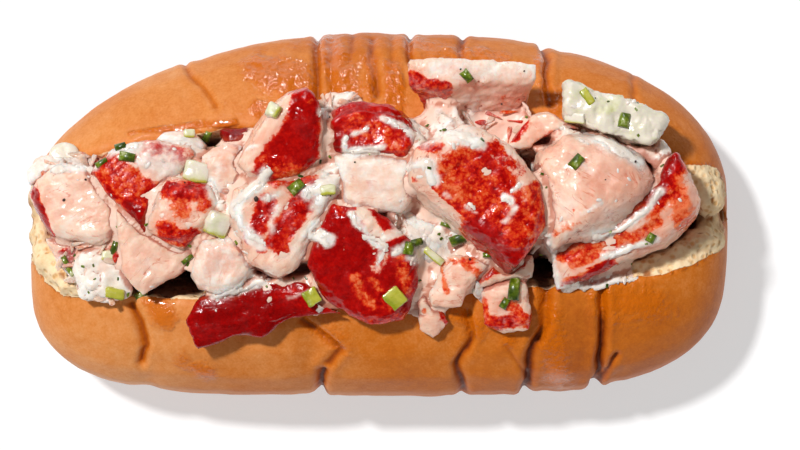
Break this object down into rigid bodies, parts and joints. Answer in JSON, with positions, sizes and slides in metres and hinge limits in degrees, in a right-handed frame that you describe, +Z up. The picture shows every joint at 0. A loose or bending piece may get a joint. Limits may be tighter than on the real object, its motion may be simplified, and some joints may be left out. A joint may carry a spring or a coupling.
{
  "type": "lobster roll",
  "caption": "Soft split bun laid open and heaped with pieces of dressed lobster claw, knuckle and tail meat.",
  "frame": {"origin": "centre of the roll's footprint, on the surface that it rests on", "axes": "+X along the bun to the end where the crumb shows, +Y to the bun's far wall, +Z up"},
  "size_m": [0.1556, 0.0812, 0.0606],
  "materials": {
    "crust": "soft satin bread crust, buttery in places",
    "dressing": "wet mayonnaise dressing",
    "flesh": "wet pale lobster meat",
    "claw": "wet mottled red lobster skin",
    "celery": "wet pale green celery in dressing"
  },
  "bodies": {
    "root": {"bun": "crust", "salad_bed": "dressing", "claw_big": "claw", "claw_tip": "claw", "tail_top": "flesh", "tail_middle": "flesh", "claw_front": "claw", "claw_long": "claw", "tail_right": "flesh", "claw_right": "claw", "claw_dome": "claw", "knuckle_mid": "claw", "claw_left": "claw", "tail_left": "flesh", "knuckle_left": "claw", "tail_front_left": "flesh", "tail_front": "flesh", "knuckle_far_left": "flesh", "celery_slab": "celery", "flap_far": "flesh", "lump_far": "dressing", "knuckle_front": "flesh", "knuckle_tip": "claw", "knuckle_low": "claw", "shred_front": "flesh", "knuckle_centre": "flesh", "strip_far": "flesh", "claw_far": "claw", "lump_left": "dressing", "knuckle_low_left": "claw", "knuckle_end": "flesh"}
  },
  "joints": []
}
